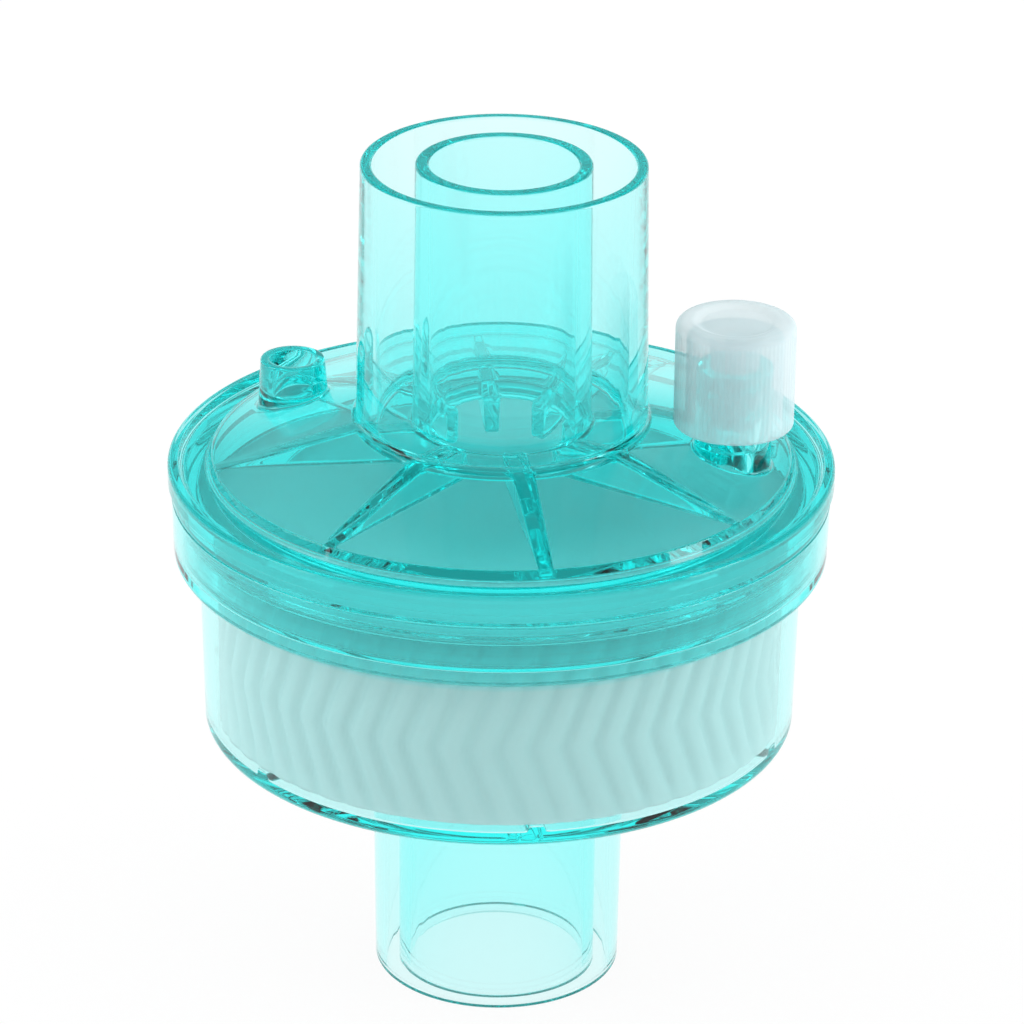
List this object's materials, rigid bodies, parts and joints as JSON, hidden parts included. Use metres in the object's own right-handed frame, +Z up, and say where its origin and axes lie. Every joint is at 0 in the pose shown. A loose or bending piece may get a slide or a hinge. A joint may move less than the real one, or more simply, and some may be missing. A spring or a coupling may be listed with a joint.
{
  "type": "breathing circuit filter",
  "caption": "Clear teal breathing circuit filter with conical ports top and bottom, a membrane and fluted paper roll in a welded round housing, and a capped sampling port.",
  "frame": {"origin": "on the axis of both ports, at the open end of the lower port", "axes": "+Z up along the ports' axis, +X towards the capped sampling port's side, -Y towards the picture's camera"},
  "size_m": [0.0576, 0.0576, 0.0756],
  "materials": {
    "upper_housing": "clear teal, polished moulding",
    "lower_housing": "clear teal, polished moulding",
    "filter_membrane": "white nonwoven",
    "hme_paper_roll": "white fluted paper",
    "luer_cap": "milky, fine ribbed grip"
  },
  "bodies": {
    "filter": {"upper_housing": "upper_housing", "lower_housing": "lower_housing", "filter_membrane": "filter_membrane", "hme_paper_roll": "hme_paper_roll"},
    "cap": {"luer_cap": "luer_cap"}
  },
  "joints": [
    {"name": "cap_lift", "type": "slide", "parent": "filter", "child": "cap", "axis": [0, 0, 1], "range_m": [0, 0.012]}
  ]
}
